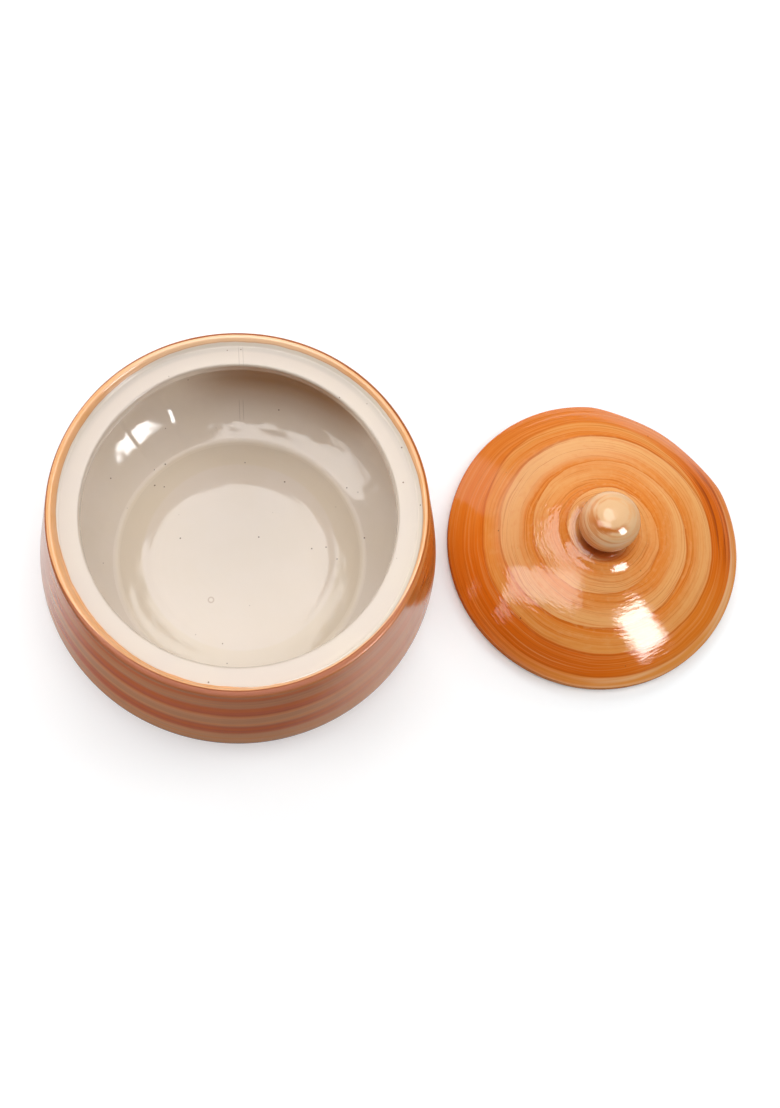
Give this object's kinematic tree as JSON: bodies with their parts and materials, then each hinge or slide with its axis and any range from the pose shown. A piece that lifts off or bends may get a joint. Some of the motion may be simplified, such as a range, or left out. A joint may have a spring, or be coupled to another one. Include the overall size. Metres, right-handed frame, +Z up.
{
  "type": "lidded ceramic jar",
  "caption": "Low round glazed ceramic jar with a wide mouth and an inner gallery ledge, and a domed lid with a ball knob that drops into the ledge; the lid lies beside it.",
  "frame": {"origin": "centre of the jar's flat base, on the jar's axis, at the table surface", "axes": "+Z up along the jar's axis, +X from the jar's axis to the axis of the lid that lies beside it"},
  "size_m": [0.326, 0.1772, 0.0786],
  "materials": {
    "jar_glaze": "glossy clear glaze, cream inside, orange brushed bands outside",
    "lid_glaze": "glossy clear glaze over an orange brushed spiral",
    "knob_glaze": "glossy clear glaze over cream with a brown foot ring"
  },
  "bodies": {
    "jar": {"jar_body": "jar_glaze"},
    "lid": {"lid": "lid_glaze", "lid_knob": "knob_glaze"}
  },
  "joints": [
    {"name": "lid_lift", "type": "slide", "parent": "jar", "child": "lid", "axis": [0, 0, 1], "range_m": [0, 0.15]}
  ]
}
